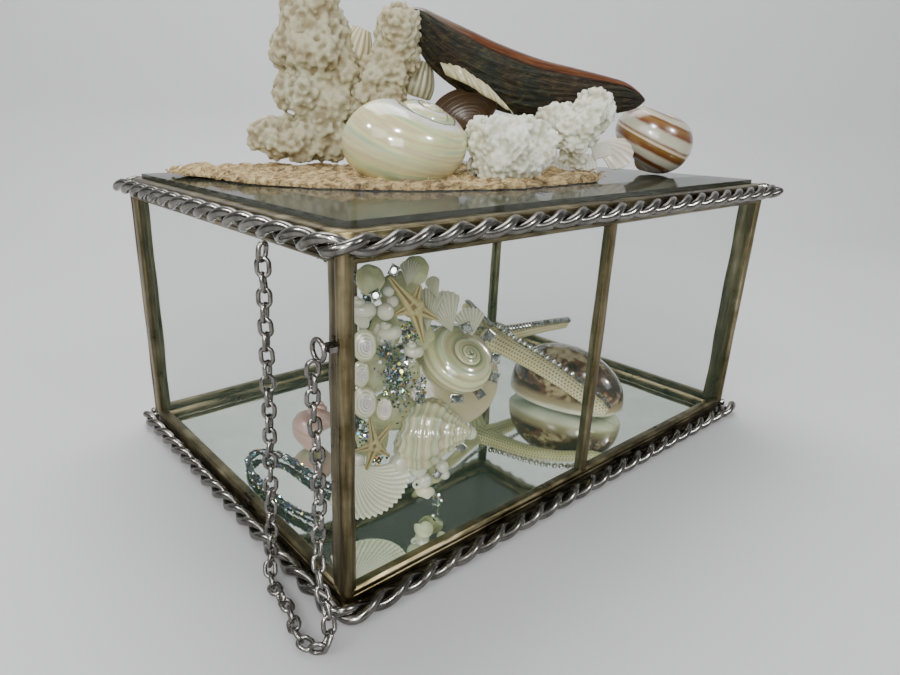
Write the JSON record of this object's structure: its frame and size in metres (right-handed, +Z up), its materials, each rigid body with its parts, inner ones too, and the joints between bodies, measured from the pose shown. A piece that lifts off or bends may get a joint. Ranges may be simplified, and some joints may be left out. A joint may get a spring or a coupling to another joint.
{
  "type": "glass display box",
  "caption": "Soldered glass box with a mirror floor, twisted-wire trim, a hinged bevelled-glass lid with a chain stay, and sea shells, coral and starfish in and on it.",
  "frame": {"origin": "centre of the box's plan, on the table it stands on", "axes": "+X along the long side, +Z up, -Y is the front with the chain's corner at -X -Y"},
  "size_m": [0.223, 0.1525, 0.1608],
  "materials": {
    "bright_metal": "silver-coloured",
    "clear_glass": "clear, slightly green",
    "coral": "chalky",
    "cowrie_shell": "glossy, brown mottled",
    "cream_shell": "satin, cream",
    "dark_shell": "satin, dark brown",
    "dried_starfish": "matt, dotted",
    "driftwood": "weathered",
    "glitter_cord": "grey glitter",
    "mirror": "silvered glass",
    "pearl_shell": "mother-of-pearl",
    "pink_shell": "satin, dusty pink",
    "solder": "dark leaded solder with a dull shine",
    "twisted_wire": "dark tinned wire, bright along the crests"
  },
  "bodies": {
    "box": {"base_rope_back": "twisted_wire", "base_rope_front": "twisted_wire", "base_tray": "solder", "big_turban": "pearl_shell", "button_shell_1": "pearl_shell", "button_shell_2": "pearl_shell", "button_shell_3": "pearl_shell", "button_shell_4": "pearl_shell", "chain": "bright_metal", "chain_hook": "bright_metal", "cone_shell": "cream_shell", "cowrie": "cowrie_shell", "fan_shell": "cream_shell", "glitter_cord": "glitter_cord", "grey_ribbed_shell": "cream_shell", "hinge_leaf_left": "solder", "hinge_leaf_right": "solder", "hinge_pin_left": "bright_metal", "hinge_pin_right": "bright_metal", "mirror_floor": "mirror", "pane_back_left": "clear_glass", "pane_back_right": "clear_glass", "pane_front_left": "clear_glass", "pane_front_right": "clear_glass", "pane_left": "clear_glass", "pane_right": "clear_glass", "pearl_1": "pearl_shell", "pearl_2": "pearl_shell", "pearl_3": "pearl_shell", "pink_shell": "pink_shell", "small_snail_1": "pearl_shell", "small_snail_2": "pearl_shell", "small_snail_3": "pearl_shell", "small_star_lower": "dried_starfish", "small_star_upper": "dried_starfish", "starfish_large": "dried_starfish", "top_shell": "cream_shell", "wall_frame": "solder", "whelk": "pearl_shell"},
    "lid": {"lid_frame": "solder", "lid_glass": "clear_glass", "lid_rope_front": "twisted_wire", "lid_rope_back": "twisted_wire", "hinge_knuckle_left": "solder", "hinge_knuckle_right": "solder", "driftwood": "driftwood", "pearl_turban": "pearl_shell", "coral_tall": "coral", "coral_finger": "coral", "coral_front": "coral", "coral_small": "coral", "long_shell": "dark_shell", "ruffled_shell": "cream_shell", "ridged_shell_left": "cream_shell", "ridged_shell_right": "cream_shell", "striped_snail": "dark_shell", "white_shell": "cream_shell", "white_chips": "coral"}
  },
  "joints": [
    {"name": "lid_hinge", "type": "hinge", "parent": "box", "child": "lid", "pos_m": [0, 0.0724, 0.0929], "axis": [-1, 0, 0], "range_deg": [0, 85]}
  ]
}
